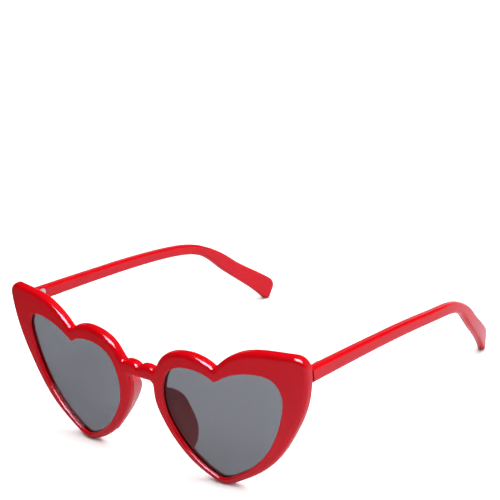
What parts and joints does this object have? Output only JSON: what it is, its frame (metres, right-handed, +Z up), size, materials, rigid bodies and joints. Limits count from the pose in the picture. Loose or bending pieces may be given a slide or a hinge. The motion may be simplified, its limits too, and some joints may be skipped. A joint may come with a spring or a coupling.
{
  "type": "heart shaped sunglasses",
  "caption": "Folding sunglasses with a curved moulded front of cat-eye hearts, tinted lenses, moulded nose pads, and temples on pinned metal hinges.",
  "frame": {"origin": "on the surface that the open glasses stand on, under the middle of their overall width and depth", "axes": "+X across the face towards the wearer's left, +Y from the front to the temple tips, +Z up"},
  "size_m": [0.1456, 0.1582, 0.0587],
  "materials": {
    "frame_plastic": "polished opaque red",
    "lens": "polished dark grey tint",
    "hinge_metal": "polished nickel silver",
    "screw_metal": "turned steel"
  },
  "bodies": {
    "front": {"front_frame": "frame_plastic", "left_lens": "lens", "right_lens": "lens", "left_front_hinge": "hinge_metal", "right_front_hinge": "hinge_metal", "left_hinge_screw": "screw_metal", "right_hinge_screw": "screw_metal"},
    "left_arm": {"left_temple": "frame_plastic", "left_temple_hinge": "hinge_metal"},
    "right_arm": {"right_temple": "frame_plastic", "right_temple_hinge": "hinge_metal"}
  },
  "joints": [
    {"name": "left_fold", "type": "hinge", "parent": "front", "child": "left_arm", "pos_m": [0.06645, -0.0669, 0.05012], "axis": [0, 0, 1], "range_deg": [0, 87]},
    {"name": "right_fold", "type": "hinge", "parent": "front", "child": "right_arm", "pos_m": [-0.06645, -0.0669, 0.05012], "axis": [0, 0, -1], "range_deg": [0, 77]}
  ]
}
